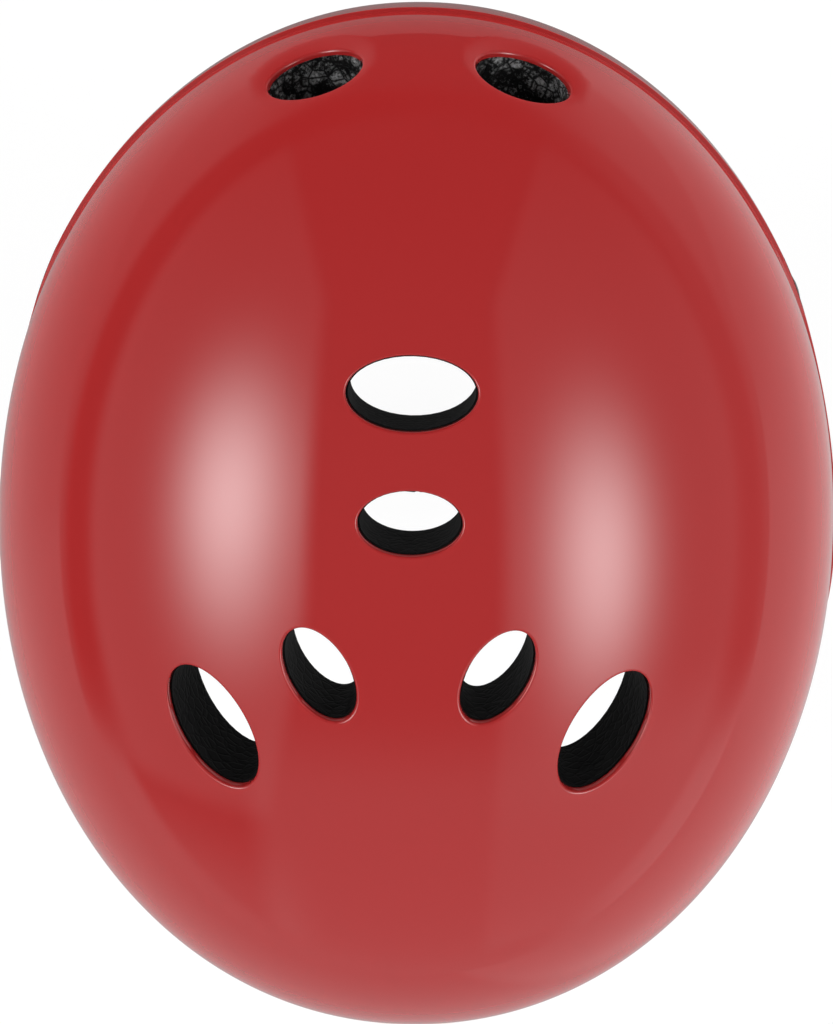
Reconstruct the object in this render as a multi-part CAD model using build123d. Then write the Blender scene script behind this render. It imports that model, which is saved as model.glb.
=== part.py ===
from build123d import *
import math
import os

# Skateboard helmet: a moulded hard shell over a foam liner, with comfort pads, riveted
# webbing, two strap dividers and a side-release chin buckle. Millimetres, +Z up, the front
# faces -Y and +X is the wearer's left. The origin is the centre of the head opening, in the
# plane of the front edge.

# Outer form of the shell
outer_width = 216.0
outer_length = 264.0
crown_height = 126.0
waist_height = 28.0
plan_fullness = 2.05
side_fullness = 2.1
front_tuck = 6.0
side_tuck = 6.0
rear_tuck = 12.0

# Lower edge, seen from the side
brow_end = -80.0
temple_place = -48.0
temple_drop = 18.0
ear_place = 10.0
ear_drop = 6.0
neck_place = 52.0
neck_drop = 34.0
nape_place = 86.0
nape_drop = 44.0

# Sections of the form: below the lower edge, and shares of the height above the waist
skirt_margin = 8.0
skirt_share = 0.4
lower_share = 0.3
crown_shares = (0.3, 0.56, 0.77, 0.91, 0.98)
outline_points = 16

# Walls
shell_wall = 2.5
band_height = 30.0
band_proud = 1.2
liner_thickness = 22.0
liner_gap = 0.2
liner_lift = 2.0
liner_edge_bevel = 4.0
edge_search = 0.03

# Vents: how much narrower the hole in the liner is than the one in the shell
liner_vent_step = 0.5
vent_cut_reach = 35.0

# Vents on top: place across and along, length, width, turn, lean back and lean outwards
middle_top_vents = [
    (0.0, -46.7, 32.2, 18.2, 0.0, 0.0, 0.0),
    (0.0, -15.6, 25.6, 15.8, 0.0, 4.0, 0.0),
]
paired_top_vents = [
    (21.8, 22.5, 25.5, 15.3, 30.0, 9.6, 2.8),
    (48.4, 38.0, 33.7, 19.2, 30.0, 13.2, 11.0),
]

# Vents in the front (end -1) and the rear (end 1): place across, height, end, length, width
middle_end_vents = [(0.0, 30.0, 1, 24.0, 13.0)]
paired_end_vents = [
    (26.6, 64.0, -1, 24.7, 22.4),
    (46.0, 26.0, 1, 24.0, 13.0),
]

# Webbing and its rivets
strap_width = 15.0
strap_thickness = 1.6
strap_gap = 0.8
strap_end_margin = 10.0
strap_wall_run = 24.0
eye_lead = 8.0
sewn_overlap = 1.0
strap_hole_gap = 0.3
channel_side_gap = 3.0
channel_depth = 6.5
front_anchor_place = -58.0
front_anchor_height = -3.0
rear_anchor_place = 68.0
rear_anchor_height = -21.0
rivet_head_radius = 6.0
rivet_head_height = 1.4
rivet_radius = 2.4
rivet_hole_gap = 0.2
rivet_tail_radius = 4.0
rivet_tail_height = 1.2
shank_overlap = 0.5
washer_radius = 6.0
washer_thickness = 1.0
seat_gap = 0.1

# Strap dividers below the ears
divider_place = 10.4
divider_height = -82.0
divider_set_in = 32.0
divider_thickness = 3.5
divider_side = 13.0
divider_half_width = 23.0
divider_corner = 3.0
divider_bar = 4.0
divider_slot = 3.5
divider_slot_shift = 8.5
slot_end_gap = 0.5
eye_gap = 0.3
eye_corner = 0.5
sewn_length = 9.0

# Chin loop
loop_height = -145.0
loop_shoulder_height = -118.0
loop_corner_reach = 38.0
loop_shoulder_radius = 20.0
loop_corner_radius = 22.0
lock_radius = 6.0
lead_radius = 2.5
bar_lead = 1.5
tail_layer_gap = 0.4
tail_length = 28.0
keeper_place = 18.0
keeper_length = 8.0
keeper_wall = 1.2
keeper_gap = 0.4

# Side-release buckle
buckle_half_length = 19.0
buckle_width = 21.5
buckle_thickness = 8.0
buckle_edge_round = 1.4
buckle_corner = 2.5
buckle_bar = 3.6
buckle_slot = 3.0
mouth_place = -3.0
cavity_length = 14.0
cavity_width = 18.0
cavity_height = 4.4
window_start = 2.0
window_length = 8.0
scallop_radius = 7.0
scallop_depth = 1.6
mate_gap = 0.3
guide_width = 5.0
guide_height = 4.0
guide_end_gap = 1.5
guide_root = 1.0
arm_pivot_back = 2.0
arm_pivot_side = 7.2
arm_root_radius = 1.6
arm_thickness = 2.2
arm_height = 4.0
arm_pad_proud = 0.15
arm_pad_lead = 1.0

# Comfort pads and their hook-and-loop patches
pad_thickness = 8.0
patch_thickness = 1.2
patch_length = 22.0
patch_width = 14.0
pad_edge_bevel = 1.8
brow_pad_set_in = 35.5
brow_pad_width = 26.0
brow_pad_height = 17.0
nape_pad_set_in = 49.5
nape_pad_width = 30.0
nape_pad_height = -17.0
side_pad_length = 60.0
side_pad_width = 32.0
side_pad_height = 30.0
crown_pad_length = 50.0
crown_pad_width = 26.0
crown_pad_set_in = 45.5
crown_pad_place = -20.0
pad_corner = 8.0

half_width = outer_width / 2
half_length = outer_length / 2
rise = crown_height - waist_height
far = outer_length
liner_inset = shell_wall + liner_gap
cavity_inset = shell_wall + liner_thickness
cavity_half_width = half_width - cavity_inset
pad_gap = patch_thickness + 2 * seat_gap
divider_reach = half_width - divider_set_in
brow_pad_length = 2 * (cavity_half_width - brow_pad_set_in)
nape_pad_length = 2 * (cavity_half_width - nape_pad_set_in)
crown_pad_reach = cavity_half_width - crown_pad_set_in
strap_inset = shell_wall + strap_gap + strap_thickness / 2
rivet_grip = shell_wall + band_proud + strap_gap + strap_thickness + 2 * seat_gap + washer_thickness
tail_layer = (strap_thickness + tail_layer_gap) / 2


def reach(height, inset):
    """Half-width, front reach and rear reach of the form at a height."""
    if height >= waist_height:
        share = min(1.0, (height - waist_height) / (rise - inset))
        fullness = (1 - share**side_fullness) ** (1 / side_fullness)
        side = (half_width - inset) * fullness
        end = (half_length - inset) * fullness
        return side, end, end
    drop = ((waist_height - height) / (waist_height + nape_drop)) ** 2
    side = half_width - inset - side_tuck * drop
    front = half_length - inset - front_tuck * drop
    rear = half_length - inset - rear_tuck * drop
    return side, front, rear


def outline(height, inset):
    """Closed horizontal outline of the form at a height."""
    side, front, rear = reach(height, inset)
    points = []
    for step in range(outline_points):
        angle = 2 * math.pi * step / outline_points
        cos, sin = math.cos(angle), math.sin(angle)
        size = (abs(cos) ** plan_fullness + abs(sin) ** plan_fullness) ** (-1 / plan_fullness)
        end = front if sin < 0 else rear
        points.append((side * cos * size, end * sin * size, height))
    return Face(Wire([Spline(*points, periodic=True)]))


def form(inset):
    """Solid of the helmet's rounded form, moved inwards by inset."""
    top = rise - inset
    levels = [-nape_drop - skirt_margin, -skirt_share * nape_drop]
    levels += [lower_share * waist_height, waist_height]
    for share in crown_shares:
        levels.append(waist_height + share * top)
    sections = [outline(level, inset) for level in levels]
    return loft(sections + [Vertex(0, 0, waist_height + top)])


def wall_ratio(x, y, z, inset):
    """Below 1 inside the form and above 1 outside it."""
    side, front, rear = reach(z, inset)
    end = front if y < 0 else rear
    return (abs(x) / side) ** plan_fullness + (abs(y) / end) ** plan_fullness


def wall_point(y, z, inset, sign=1):
    """Point of the form's side wall at a place along the helmet and a height."""
    side, front, rear = reach(z, inset)
    end = front if y < 0 else rear
    x = side * (1 - (abs(y) / end) ** plan_fullness) ** (1 / plan_fullness)
    return Vector(sign * x, y, z)


def outward(point, inset):
    """Unit normal of the form at a point of its wall."""
    step = 0.05
    slopes = []
    for axis in (Vector(step, 0, 0), Vector(0, step, 0), Vector(0, 0, step)):
        high, low = point + axis, point - axis
        slopes.append(wall_ratio(high.X, high.Y, high.Z, inset) - wall_ratio(low.X, low.Y, low.Z, inset))
    return Vector(*slopes).normalized()


def below_edge(lift):
    """Everything under the helmet's lower edge, raised by lift."""
    start, end = -far, far
    brow = Line((start, lift), (brow_end, lift))
    side = Spline(
        (brow_end, lift),
        (temple_place, lift - temple_drop),
        (ear_place, lift - ear_drop),
        (neck_place, lift - neck_drop),
        (nape_place, lift - nape_drop),
        tangents=[(1, 0), (1, 0)],
    )
    nape = Line((nape_place, lift - nape_drop), (end, lift - nape_drop))
    floor = -2 * nape_drop
    close = Polyline((end, lift - nape_drop), (end, floor), (start, floor), (start, lift))
    region = make_face([brow, side, nape, close])
    return extrude(Plane.YZ * region, amount=far, both=True)


def top_vent(x, y, length, width, turn, lean_back, lean_side):
    """Plane of a vent on top of the helmet, open along the mould's draw, and its size."""
    ratio = wall_ratio(x, y, waist_height, 0) ** (1 / plan_fullness)
    z = waist_height + rise * (1 - ratio**side_fullness) ** (1 / side_fullness)
    axis = Vector(math.tan(math.radians(lean_side)), math.tan(math.radians(lean_back)), 1)
    along = Vector(math.cos(math.radians(turn)), math.sin(math.radians(turn)), 0)
    flat = along - axis * (along.dot(axis) / axis.dot(axis))
    return Plane(origin=(x, y, z), x_dir=flat, z_dir=axis), length, width


def end_vent(x, z, end, length, width):
    """Plane of a vent in the front or the rear, square to the wall, and its size."""
    side, front, rear = reach(z, 0)
    depth = front if end < 0 else rear
    y = end * depth * (1 - (abs(x) / side) ** plan_fullness) ** (1 / plan_fullness)
    axis = outward(Vector(x, y, z), 0)
    along = Vector(-axis.Y, axis.X, 0)
    return Plane(origin=(x, y, z), x_dir=along, z_dir=axis), length, width


def vents():
    """The eleven vents: two in front, six on top and three low at the rear."""
    found = [top_vent(*vent) for vent in middle_top_vents]
    found += [end_vent(*vent) for vent in middle_end_vents]
    for sign in (-1, 1):
        for x, y, length, width, turn, lean_back, lean_side in paired_top_vents:
            turn = 90 + sign * turn
            found.append(top_vent(sign * x, y, length, width, turn, lean_back, sign * lean_side))
        for x, z, end, length, width in paired_end_vents:
            found.append(end_vent(sign * x, z, end, length, width))
    return found


def vent_cutters(shrink):
    """Elliptical prisms through shell and liner, shrink narrower on each side."""
    cutters = []
    for plane, length, width in vents():
        hole = plane * Ellipse(length / 2 - shrink, width / 2 - shrink)
        cutters.append(extrude(hole, amount=vent_cut_reach, both=True))
    return cutters


def web_anchor(place, height, sign):
    """Rivet plane of a strap: on the outside of the lower band, facing outwards."""
    inset = -band_proud
    point = wall_point(place, height, inset, sign)
    normal = outward(point, inset)
    return Plane(origin=point, z_dir=normal)


def anchors():
    """The four rivet places as place, height and side."""
    found = []
    for sign in (-1, 1):
        found.append((front_anchor_place, front_anchor_height, sign))
        found.append((rear_anchor_place, rear_anchor_height, sign))
    return found


def outer_shell(body, hollow):
    """Hard shell with its raised lower band, vents and rivet holes."""
    band = form(-band_proud) & below_edge(band_height)
    shell = body + band - hollow - below_edge(0)
    shell = shell - vent_cutters(0)
    for place, height, sign in anchors():
        hole = Cylinder(rivet_radius + rivet_hole_gap, 4 * shell_wall)
        shell = shell - web_anchor(place, height, sign) * hole
    return shell


def strap_channels():
    """Pockets in the outside of the liner that the straps and rivet tails lie in."""
    pockets = []
    for place, height, sign in anchors():
        centre, along = web_line(place, height, sign)
        normal = outward(centre, shell_wall)
        along = (along - normal * along.dot(normal)).normalized()
        plane = Plane(origin=centre, x_dir=along, z_dir=normal)
        width = strap_width + 2 * channel_side_gap
        start = -strap_end_margin - channel_side_gap
        pocket = Pos(start + half_length / 2, 0, 0) * Box(half_length, width, 2 * liner_thickness)
        pockets.append(plane * pocket)
    return pockets


def foam_liner(cavity):
    """Impact foam under the shell, with its vents and strap pockets."""
    block = form(liner_inset) - cavity - below_edge(liner_lift)
    inner_edge = []
    for edge in block.edges():
        middle = edge @ 0.5
        if abs(wall_ratio(middle.X, middle.Y, middle.Z, cavity_inset) - 1) < edge_search:
            inner_edge.append(edge)
    block = chamfer(inner_edge, liner_edge_bevel)
    block = block - vent_cutters(liner_vent_step)
    floor = form(shell_wall + channel_depth)
    for pocket in strap_channels():
        block = block - (pocket - floor)
    return block


def divider_directions():
    """Directions from a divider to its front strap and its rear strap, in the YZ plane."""
    front = Vector(0, front_anchor_place - divider_place, front_anchor_height - divider_height)
    rear = Vector(0, rear_anchor_place - divider_place, rear_anchor_height - divider_height)
    return front.normalized(), rear.normalized()


def bar_centre(direction, shift, sign):
    """Centre of the bar that a strap is sewn round, on a divider."""
    tangent = Vector(0, -direction.Z, direction.Y)
    base = Vector(sign * divider_reach, divider_place, divider_height)
    return base + direction * (divider_side - divider_bar / 2) + tangent * shift


def web_ends(place, sign):
    """Bar centre and direction of the strap that is riveted at a place."""
    front, rear = divider_directions()
    if place < divider_place:
        return bar_centre(front, divider_slot_shift, sign), front
    return bar_centre(rear, -divider_slot_shift, sign), rear


def web_line(place, height, sign):
    """Point of the strap's centreline at its rivet and its direction down the helmet."""
    bar, direction = web_ends(place, sign)
    start = wall_point(place, height, strap_inset, sign)
    return start, Vector(0, bar.Y - place, bar.Z - height).normalized()


def strap_section(centre, along, normal):
    """Cross-section of the webbing at a point of its route."""
    across = along.cross(normal).normalized()
    plane = Plane(origin=centre, x_dir=across, z_dir=along)
    return plane * Rectangle(strap_width, strap_thickness)


def sewn_eye(centre, direction, across, bar_long, bar_thick):
    """Webbing folded round a bar and sewn back on itself for a short way."""
    thick_dir = direction.cross(across).normalized()
    plane = Plane(origin=centre, x_dir=direction, z_dir=across)
    hole_long = bar_long + 2 * eye_gap
    hole_thick = bar_thick + 2 * eye_gap
    outer_long = hole_long + 2 * strap_thickness
    outer_thick = hole_thick + 2 * strap_thickness
    ring = RectangleRounded(outer_long, outer_thick, eye_corner + strap_thickness)
    fold_length = sewn_length + strap_thickness
    fold = Pos((outer_long + sewn_length) / 2, 0) * Rectangle(fold_length, 2 * strap_thickness)
    hole = RectangleRounded(hole_long, hole_thick, eye_corner)
    return extrude(plane * (ring + fold - hole), amount=strap_width / 2, both=True)


def side_strap_stations(place, height, sign):
    """Points of a side strap's centreline, each with the way that the webbing faces there."""
    bar, direction = web_ends(place, sign)
    start = Vector(0, place, height)
    route = Vector(0, bar.Y - place, bar.Z - height).normalized()
    stations = []
    for share in (-strap_end_margin / strap_wall_run, 0, 1 / 3, 2 / 3, 1):
        spot = start + route * (share * strap_wall_run)
        point = wall_point(spot.Y, spot.Z, strap_inset, sign)
        stations.append((point, outward(point, strap_inset)))
    leave, lean = stations[-1]
    sideways = Vector(sign, 0, 0)
    finish = bar + direction * (divider_bar / 2 + eye_gap + strap_thickness + sewn_length - sewn_overlap)
    before = finish + direction * eye_lead
    stations.append(((leave + before) / 2, (lean + sideways).normalized()))
    stations.append((before, sideways))
    stations.append((finish, sideways))
    return stations


def side_strap(place, height, sign):
    """One webbing strap from its rivet, down inside the shell and sewn round the divider."""
    stations = side_strap_stations(place, height, sign)
    sections = []
    for index, (point, normal) in enumerate(stations):
        ahead = stations[min(index + 1, len(stations) - 1)][0]
        behind = stations[max(index - 1, 0)][0]
        along = (ahead - behind).normalized()
        normal = (normal - along * normal.dot(along)).normalized()
        sections.append(strap_section(point, along, normal))
    ribbon = loft(sections, ruled=True)
    bar, direction = web_ends(place, sign)
    across = direction.cross(Vector(1, 0, 0)).normalized()
    eye = sewn_eye(bar, direction, across, divider_bar, divider_thickness)
    hole = web_anchor(place, height, sign) * Cylinder(rivet_radius + strap_hole_gap, 8 * shell_wall)
    return ribbon + eye - hole


def strap_rivets():
    """Four rivets: domed head outside, shank and closed tail inside."""
    rivets = []
    dome_radius = (rivet_head_radius**2 + rivet_head_height**2) / (2 * rivet_head_height)
    ball = Pos(0, 0, rivet_head_height - dome_radius) * Sphere(dome_radius)
    outside = Pos(0, 0, rivet_head_height) * Cylinder(2 * rivet_head_radius, 2 * rivet_head_height)
    shank = Pos(0, 0, -rivet_grip / 2) * Cylinder(rivet_radius, rivet_grip + 2 * shank_overlap)
    tail_place = -rivet_grip - seat_gap - rivet_tail_height / 2
    tail = Pos(0, 0, tail_place) * Cylinder(rivet_tail_radius, rivet_tail_height)
    for place, height, sign in anchors():
        rivets.append(web_anchor(place, height, sign) * ((ball & outside) + shank + tail))
    return Compound(children=rivets)


def rivet_washers():
    """Four washers between the webbing and the rivet tails."""
    washers = []
    washer_hole = Cylinder(rivet_radius + rivet_hole_gap, washer_thickness)
    ring = Cylinder(washer_radius, washer_thickness) - washer_hole
    for place, height, sign in anchors():
        seat = Pos(0, 0, washer_thickness / 2 - rivet_grip)
        washers.append(web_anchor(place, height, sign) * seat * ring)
    return Compound(children=washers)


def divider(sign):
    """Flat three-slot divider that joins the front, rear and chin straps."""
    front, rear = divider_directions()
    down = Vector(0, 0, -1)
    plate = Rectangle(2 * divider_half_width, 4 * divider_side)
    slots = []
    for direction, shift in ((front, divider_slot_shift), (rear, -divider_slot_shift), (down, 0)):
        angle = math.degrees(math.atan2(direction.Z, direction.Y))
        cut = Rot(0, 0, angle) * Pos(divider_side + far / 2, 0) * Rectangle(far, far)
        plate = plate - cut
        middle = divider_side - divider_bar - divider_slot / 2
        slot = Rectangle(divider_slot, strap_width + 2 * slot_end_gap)
        slots.append(Rot(0, 0, angle) * Pos(middle, shift) * slot)
    plate = fillet(plate.vertices(), divider_corner)
    for slot in slots:
        plate = plate - slot
    sheet = Plane.YZ * plate
    solid = extrude(sheet, amount=divider_thickness / 2, both=True)
    return Pos(sign * divider_reach, divider_place, divider_height) * solid


def chin_corners(sign):
    """Bend points of a chin strap in the XZ plane, from the divider down to the buckle's height."""
    top = Vector(sign * divider_reach, divider_height - divider_side)
    shoulder = Vector(sign * divider_reach, loop_shoulder_height)
    corner = Vector(sign * loop_corner_reach, loop_height)
    return top, shoulder, corner


def divider_eye(sign):
    """Sewn end of a chin strap round the lower bar of its divider."""
    bar = Vector(sign * divider_reach, 0, divider_height - divider_side + divider_bar / 2)
    return sewn_eye(bar, Vector(0, 0, -1), Vector(0, 1, 0), divider_bar, divider_thickness)


def strap_band(route):
    """Webbing of full width along a route in the XZ plane."""
    return extrude(Plane.XZ * trace(route, strap_thickness), amount=strap_width / 2, both=True)


def chin_strap_left():
    """Chin webbing sewn round the left divider and round the buckle's socket."""
    top, shoulder, corner = chin_corners(1)
    end = Vector(buckle_half_length + eye_gap + strap_thickness, loop_height)
    route = FilletPolyline(top, shoulder, corner, end, radius=[loop_shoulder_radius, loop_corner_radius])
    bar = Vector(buckle_half_length - buckle_bar / 2, 0, loop_height)
    buckle_eye = sewn_eye(bar, Vector(1, 0, 0), Vector(0, 1, 0), buckle_bar, buckle_bar)
    return Pos(0, divider_place, 0) * (strap_band(route) + divider_eye(1) + buckle_eye)


def tail_frame():
    """Corner, direction and outward normal of the right strap's slanting run, in the XZ plane."""
    shoulder, corner = chin_corners(-1)[1:]
    corner = corner + Vector(0, tail_layer)
    along = (shoulder - corner).normalized()
    normal = Vector(along.Y, -along.X)
    if normal.Y > 0:
        normal = normal * -1
    return corner, along, normal


def chin_strap_right():
    """Chin webbing from the right divider, through the buckle's insert and back as a free tail."""
    top, shoulder = chin_corners(-1)[:2]
    corner, along, normal = tail_frame()
    bar_place = buckle_half_length - buckle_bar / 2
    climb = buckle_bar / 2 + eye_gap + strap_thickness / 2
    bend = -buckle_half_length - bar_lead - lock_radius
    lead = -buckle_half_length - bar_lead
    main = FilletPolyline(
        top,
        shoulder,
        corner,
        Vector(bend, loop_height + tail_layer),
        Vector(lead, loop_height + climb),
        Vector(-bar_place, loop_height + climb),
        radius=[loop_shoulder_radius, loop_corner_radius, lock_radius, lead_radius],
    )
    tail_corner = corner + normal * (2 * tail_layer)
    tail_corner = tail_corner + along * ((loop_height - tail_layer - tail_corner.Y) / along.Y)
    tail = FilletPolyline(
        Vector(-bar_place, loop_height - climb),
        Vector(lead, loop_height - climb),
        Vector(bend, loop_height - tail_layer),
        tail_corner,
        tail_corner + along * tail_length,
        radius=[lead_radius, lock_radius, loop_corner_radius + 2 * tail_layer],
    )
    ring_outer = buckle_bar + 2 * (eye_gap + strap_thickness)
    ring_inner = buckle_bar + 2 * eye_gap
    ring = RectangleRounded(ring_outer, ring_outer, eye_corner + strap_thickness)
    ring = ring - RectangleRounded(ring_inner, ring_inner, eye_corner)
    wrap = extrude(Plane.XZ * Pos(-bar_place, loop_height) * ring, amount=strap_width / 2, both=True)
    return Pos(0, divider_place, 0) * (strap_band(main) + strap_band(tail) + wrap + divider_eye(-1))


def strap_keeper():
    """Elastic loop that holds the strap's tail against the strap."""
    corner, along, normal = tail_frame()
    centre = corner + along * keeper_place + normal * tail_layer
    plane = Plane(
        origin=(centre.X, divider_place, centre.Y),
        x_dir=(along.X, 0, along.Y),
        z_dir=(normal.X, 0, normal.Y),
    )
    inner_width = strap_width + 2 * keeper_gap
    inner_height = 2 * strap_thickness + tail_layer_gap + 2 * keeper_gap
    outer = Box(keeper_length, inner_width + 2 * keeper_wall, inner_height + 2 * keeper_wall)
    outer = fillet(outer.edges().filter_by(Axis.X), keeper_wall)
    return plane * (outer - Box(2 * keeper_length, inner_width, inner_height))


def buckle_half(near, outer_end):
    """Outer block of one half of the buckle, with the bar that the strap goes round."""
    length = abs(outer_end - near)
    middle = (outer_end + near) / 2
    sign = 1 if outer_end > near else -1
    plan = Pos(middle, 0) * Rectangle(length, buckle_width)
    corners = plan.vertices().sort_by(Axis.X)
    corners = corners[-2:] if sign > 0 else corners[:2]
    plan = fillet(corners, buckle_corner)
    block = extrude(plan, amount=buckle_thickness / 2, both=True)
    rims = block.faces().sort_by(Axis.Z)[-1].edges() + block.faces().sort_by(Axis.Z)[0].edges()
    block = fillet(rims, buckle_edge_round)
    opening = strap_width + 2 * slot_end_gap
    slot_place = outer_end - sign * (buckle_bar + buckle_slot / 2)
    block = block - Pos(slot_place, 0, 0) * Box(buckle_slot, opening, 2 * buckle_thickness)
    step = (buckle_thickness - buckle_bar) / 2
    for side in (-1, 1):
        level = side * (buckle_bar / 2 + step)
        relief = Pos(outer_end - sign * buckle_bar / 2, 0, level) * Box(3 * buckle_bar, opening, 2 * step)
        block = block - relief
    return block


def buckle_socket():
    """Female half of the buckle: a flat sleeve with a window and a finger scallop on each side."""
    block = buckle_half(mouth_place, buckle_half_length)
    cavity = Pos(mouth_place + cavity_length / 2, 0, 0) * Box(cavity_length, cavity_width, cavity_height)
    block = block - cavity
    window_middle = window_start + window_length / 2
    block = block - Pos(window_middle, 0, 0) * Box(window_length, 2 * buckle_width, cavity_height)
    for side in (-1, 1):
        centre = buckle_width / 2 + scallop_radius - scallop_depth
        block = block - Pos(window_middle, side * centre, 0) * Cylinder(scallop_radius, 2 * buckle_thickness)
    return Pos(0, divider_place, loop_height) * block


def arm_pivot():
    """Place of the arms' roots along the buckle."""
    return mouth_place - mate_gap - arm_pivot_back


def buckle_insert():
    """Male half of the buckle: a ladder block for the strap and a central guide."""
    face = mouth_place - mate_gap
    block = buckle_half(face, -buckle_half_length)
    tip = mouth_place + cavity_length - guide_end_gap
    root = face - guide_root
    guide = Pos((tip + root) / 2, 0, 0) * Box(tip - root, guide_width, guide_height)
    guide = fillet(guide.faces().sort_by(Axis.X)[-1].edges().filter_by(Axis.Z), guide_width / 3)
    block = block + guide
    pocket_half = arm_root_radius + mate_gap
    for side in (-1, 1):
        depth = pocket_half + arm_pivot_back
        place = face - depth / 2
        pocket = Pos(place, side * arm_pivot_side, 0) * Box(depth, 2 * pocket_half, cavity_height)
        block = block - pocket
    return Pos(0, divider_place, loop_height) * block


def release_arm(side):
    """Springy side arm of the insert, with the pad that is pressed to let the buckle go."""
    pivot = arm_pivot()
    tip = mouth_place + cavity_length - guide_end_gap
    inner = arm_pivot_side - arm_root_radius / 2
    beam_middle = inner + arm_thickness / 2
    outer = inner + arm_thickness
    root = Pos(pivot, arm_pivot_side) * Circle(arm_root_radius)
    beam = Pos((pivot + tip) / 2, beam_middle) * Rectangle(tip - pivot, arm_thickness)
    start = window_start + mate_gap
    end = window_start + window_length - mate_gap
    crest = buckle_width / 2 + arm_pad_proud
    pad = make_face(
        Polyline(
            (start, outer - arm_pad_lead),
            (start, crest - arm_pad_lead / 2),
            (start + arm_pad_lead, crest),
            (end - 2 * arm_pad_lead, crest - arm_pad_lead / 3),
            (end, outer + arm_pad_lead / 4),
            (tip, outer - arm_pad_lead),
            (start, outer - arm_pad_lead),
        )
    )
    arm = extrude(root + beam + pad, amount=arm_height / 2, both=True)
    if side < 0:
        arm = arm.mirror(Plane.XZ)
    return Pos(0, divider_place, loop_height) * arm


def pad_prism(name, length, width, corner):
    """Rounded prism that cuts a pad, or its patch, out of a layer inside the foam."""
    plan = RectangleRounded(length, width, corner)
    if name == "brow_pad":
        return extrude(Plane.XZ * Pos(0, brow_pad_height) * plan, amount=far)
    if name == "nape_pad":
        return extrude(Plane.XZ * Pos(0, nape_pad_height) * plan, amount=-far)
    if name == "side_pad_left":
        return extrude(Plane.YZ * Pos(0, side_pad_height) * plan, amount=far)
    if name == "side_pad_right":
        return extrude(Plane.YZ * Pos(0, side_pad_height) * plan, amount=-far)
    side = crown_pad_reach if name == "crown_pad_left" else -crown_pad_reach
    return extrude(Pos(side, crown_pad_place) * Rot(0, 0, 90) * plan, amount=far)


def pad_sizes():
    """Length and width of each comfort pad, by name."""
    return {
        "brow_pad": (brow_pad_length, brow_pad_width),
        "nape_pad": (nape_pad_length, nape_pad_width),
        "side_pad_left": (side_pad_length, side_pad_width),
        "side_pad_right": (side_pad_length, side_pad_width),
        "crown_pad_left": (crown_pad_length, crown_pad_width),
        "crown_pad_right": (crown_pad_length, crown_pad_width),
    }


def comfort_pads():
    """Six soft pads that follow the inside of the foam, by name."""
    layer = form(cavity_inset + pad_gap) - form(cavity_inset + pad_gap + pad_thickness)
    pads = {}
    for name, (length, width) in pad_sizes().items():
        pad = layer & pad_prism(name, length, width, pad_corner)
        pads[name] = chamfer(pad.edges(), pad_edge_bevel)
    return pads


def hook_patches():
    """Hook-and-loop patches glued to the foam, one behind each pad."""
    start = cavity_inset + seat_gap
    layer = form(start) - form(start + patch_thickness)
    patches = []
    for name in pad_sizes():
        patches.append(layer & pad_prism(name, patch_length, patch_width, patch_width / 4))
    return Compound(children=patches)


def save(shape, name):
    """Write one named piece."""
    export_step(shape, "parts/" + name + ".step")


def main():
    os.makedirs("parts", exist_ok=True)
    cavity = form(cavity_inset)
    save(outer_shell(form(0), form(shell_wall)), "outer_shell")
    save(foam_liner(cavity), "foam_liner")
    save(strap_rivets(), "strap_rivets")
    save(rivet_washers(), "rivet_washers")
    for sign, side in ((1, "left"), (-1, "right")):
        save(side_strap(front_anchor_place, front_anchor_height, sign), "front_strap_" + side)
        save(side_strap(rear_anchor_place, rear_anchor_height, sign), "rear_strap_" + side)
        save(divider(sign), "strap_divider_" + side)
    save(chin_strap_left(), "chin_strap_left")
    save(chin_strap_right(), "chin_strap_right")
    save(strap_keeper(), "strap_keeper")
    save(buckle_socket(), "buckle_socket")
    save(buckle_insert(), "buckle_insert")
    save(release_arm(-1), "release_arm_front")
    save(release_arm(1), "release_arm_rear")
    for name, pad in comfort_pads().items():
        save(pad, name)
    save(hook_patches(), "hook_patches")


if __name__ == "__main__":
    main()
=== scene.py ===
import math
import bpy
import numpy as np
from mathutils import Matrix, Vector


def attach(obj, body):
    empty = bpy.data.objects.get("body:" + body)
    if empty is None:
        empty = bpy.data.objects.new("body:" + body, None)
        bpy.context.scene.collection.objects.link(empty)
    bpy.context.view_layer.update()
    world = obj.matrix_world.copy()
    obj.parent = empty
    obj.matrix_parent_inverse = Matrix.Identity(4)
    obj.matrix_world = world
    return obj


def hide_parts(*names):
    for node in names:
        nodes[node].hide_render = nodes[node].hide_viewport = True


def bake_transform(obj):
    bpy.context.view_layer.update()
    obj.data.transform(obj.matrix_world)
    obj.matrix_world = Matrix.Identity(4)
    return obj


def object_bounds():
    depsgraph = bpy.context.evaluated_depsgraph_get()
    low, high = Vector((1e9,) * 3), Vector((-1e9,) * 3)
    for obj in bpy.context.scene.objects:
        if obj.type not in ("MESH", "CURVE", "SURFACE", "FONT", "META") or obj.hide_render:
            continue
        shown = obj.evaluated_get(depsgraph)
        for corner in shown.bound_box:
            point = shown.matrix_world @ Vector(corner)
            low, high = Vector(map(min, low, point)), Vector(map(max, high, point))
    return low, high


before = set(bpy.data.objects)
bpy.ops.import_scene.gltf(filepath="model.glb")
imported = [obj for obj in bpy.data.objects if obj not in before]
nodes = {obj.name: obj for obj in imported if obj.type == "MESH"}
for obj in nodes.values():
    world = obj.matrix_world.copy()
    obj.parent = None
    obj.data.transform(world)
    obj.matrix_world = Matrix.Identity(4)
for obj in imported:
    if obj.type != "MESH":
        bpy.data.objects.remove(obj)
cad_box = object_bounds()

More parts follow.
